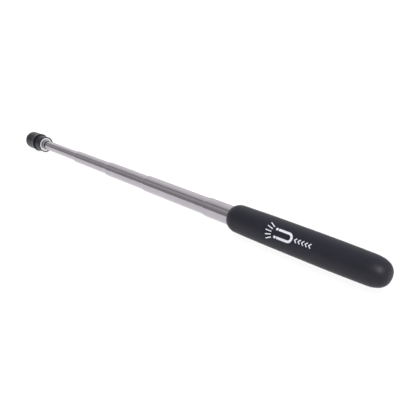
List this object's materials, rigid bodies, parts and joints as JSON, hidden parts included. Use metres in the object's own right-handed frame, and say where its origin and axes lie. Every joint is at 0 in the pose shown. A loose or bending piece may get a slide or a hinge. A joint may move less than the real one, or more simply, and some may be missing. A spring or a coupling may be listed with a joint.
{
  "type": "telescopic magnetic pick-up tool",
  "caption": "Slim hand tool: soft black grip, nested bright tubes that slide and turn, and a small round magnet head in a black cap.",
  "frame": {"origin": "on the tube axis, in the middle of the grip's widest stretch", "axes": "+X along the tool's axis towards the closed end of the grip, so the magnet faces -X; the tool is round about X"},
  "size_m": [0.3331, 0.018, 0.018],
  "materials": {
    "grip_rubber": "matte soft-touch foam rubber",
    "tube_steel": "drawn and nickel plated, fine lengthwise draw lines",
    "collar_chrome": "bright plated",
    "plain_steel": "turned",
    "magnet_nickel": "nickel plated, satin",
    "bush_brass": "turned",
    "shim_bronze": "rolled spring strip",
    "cap_black": "black, satin",
    "plug_plastic": "moulded"
  },
  "bodies": {
    "grip_body": {"grip": "grip_rubber", "base_tube": "tube_steel", "base_end_plug": "plug_plastic"},
    "shims_4": {"friction_shims_4": "shim_bronze"},
    "section_4": {"tube_4": "tube_steel", "tail_bush_4": "bush_brass"},
    "shims_3": {"friction_shims_3": "shim_bronze"},
    "section_3": {"tube_3": "tube_steel", "tail_bush_3": "bush_brass"},
    "shims_2": {"friction_shims_2": "shim_bronze"},
    "section_2": {"tube_2": "tube_steel", "tail_bush_2": "bush_brass"},
    "shims_1": {"friction_shims_1": "shim_bronze"},
    "section_1": {"tube_1": "tube_steel", "tail_bush_1": "bush_brass", "head_stud": "plain_steel", "head_collar": "collar_chrome", "pole_cup": "plain_steel", "spacer_ring": "bush_brass", "magnet": "magnet_nickel", "head_cap": "cap_black"}
  },
  "joints": [
    {"name": "section_4_slide", "type": "slide", "parent": "grip_body", "child": "shims_4", "axis": [-1, 0, 0], "range_m": [-0.0562, 0.046]},
    {"name": "section_4_turn", "type": "hinge", "parent": "shims_4", "child": "section_4", "pos_m": [-0.0173, 0, 0], "axis": [-1, 0, 0], "continuous": true},
    {"name": "section_3_slide", "type": "slide", "parent": "section_4", "child": "shims_3", "axis": [-1, 0, 0], "range_m": [-0.0405, 0.0547]},
    {"name": "section_3_turn", "type": "hinge", "parent": "shims_3", "child": "section_3", "pos_m": [-0.0669, 0, 0], "axis": [-1, 0, 0], "continuous": true},
    {"name": "section_2_slide", "type": "slide", "parent": "section_3", "child": "shims_2", "axis": [-1, 0, 0], "range_m": [-0.0381, 0.0501]},
    {"name": "section_2_turn", "type": "hinge", "parent": "shims_2", "child": "section_2", "pos_m": [-0.1141, 0, 0], "axis": [-1, 0, 0], "continuous": true},
    {"name": "section_1_slide", "type": "slide", "parent": "section_2", "child": "shims_1", "axis": [-1, 0, 0], "range_m": [-0.0412, 0.04]},
    {"name": "section_1_turn", "type": "hinge", "parent": "shims_1", "child": "section_1", "pos_m": [-0.1644, 0, 0], "axis": [-1, 0, 0], "continuous": true}
  ]
}
